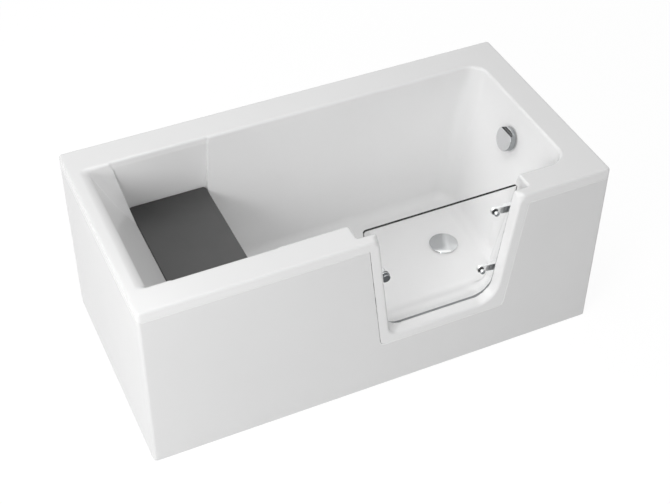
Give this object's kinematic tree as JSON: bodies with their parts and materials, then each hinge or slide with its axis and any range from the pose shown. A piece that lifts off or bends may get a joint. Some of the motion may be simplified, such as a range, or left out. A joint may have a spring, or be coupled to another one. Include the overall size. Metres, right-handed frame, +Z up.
{
  "type": "walk-in bathtub",
  "caption": "Rectangular bath with an inward-opening glass door in its long side, a lift-out seat, a turning waste control, panels and a steel frame on feet.",
  "frame": {"origin": "on the floor under the middle of the bath's outline", "axes": "+X along the bath towards the waste end, +Y towards the wall side, away from the door, +Z up"},
  "size_m": [1.5, 0.75, 0.62],
  "materials": {
    "acrylic": "gloss",
    "panel": "gloss",
    "board": "raw",
    "frame": "galvanised",
    "fixings": "zinc plated",
    "feet": "moulded",
    "seal": "matt",
    "glass": "clear toughened",
    "chrome": "polished",
    "seat": "satin",
    "pipes": "moulded"
  },
  "bodies": {
    "bath": {"bath_shell": "acrylic", "front_panel": "panel", "end_panel": "panel", "base_board": "board", "rim_battens": "board", "frame_rails": "frame", "frame_crossbars": "frame", "rim_posts": "frame", "levelling_feet": "feet", "foot_locknuts": "fixings", "panel_clips": "fixings", "door_seal": "seal", "upper_hinge_bracket": "chrome", "upper_hinge_pin": "chrome", "lower_hinge_bracket": "chrome", "lower_hinge_pin": "chrome", "latch_keep": "chrome", "overflow_plate": "pipes", "overflow_body": "pipes", "overflow_gasket": "seal", "overflow_pipe": "pipes", "waste_elbow": "pipes", "waste_link": "pipes", "control_cable": "seal", "waste_flange": "chrome", "waste_body": "pipes", "drain_trap": "pipes"},
    "door": {"door_glass": "glass", "upper_hinge_arm": "chrome", "upper_hinge_clamp": "chrome", "lower_hinge_arm": "chrome", "lower_hinge_clamp": "chrome", "hinge_gaskets": "seal", "latch_bush": "seal"},
    "latch": {"latch_knob": "chrome", "latch_tongue": "chrome", "latch_grip": "chrome"},
    "seat": {"seat_board": "seat", "seat_pads": "seal"},
    "overflow_knob": {"overflow_knob": "chrome"},
    "waste_plug": {"waste_cover": "chrome"}
  },
  "joints": [
    {"name": "door_swing", "type": "hinge", "parent": "bath", "child": "door", "pos_m": [0.46025, -0.309, 0.52542], "axis": [-0.1184, 0, -0.993], "range_deg": [0, 90]},
    {"name": "latch_turn", "type": "hinge", "parent": "door", "child": "latch", "pos_m": [0.02079, -0.325, 0.416], "axis": [0, 1, 0], "range_deg": [-35, 55]},
    {"name": "seat_lift", "type": "slide", "parent": "bath", "child": "seat", "axis": [0, 0, 1], "range_m": [0, 0.2]},
    {"name": "overflow_turn", "type": "hinge", "parent": "bath", "child": "overflow_knob", "pos_m": [0.62665, -0.006, 0.511], "axis": [-0.9677, 0, 0.2521], "range_deg": [0, 90]},
    {"name": "plug_lift", "type": "slide", "parent": "bath", "child": "waste_plug", "axis": [0, 0, 1], "range_m": [0, 0.00801]}
  ],
  "couplings": [
    {"joint": "plug_lift", "follows": "overflow_turn", "m_per_rad": 0.005093}
  ]
}
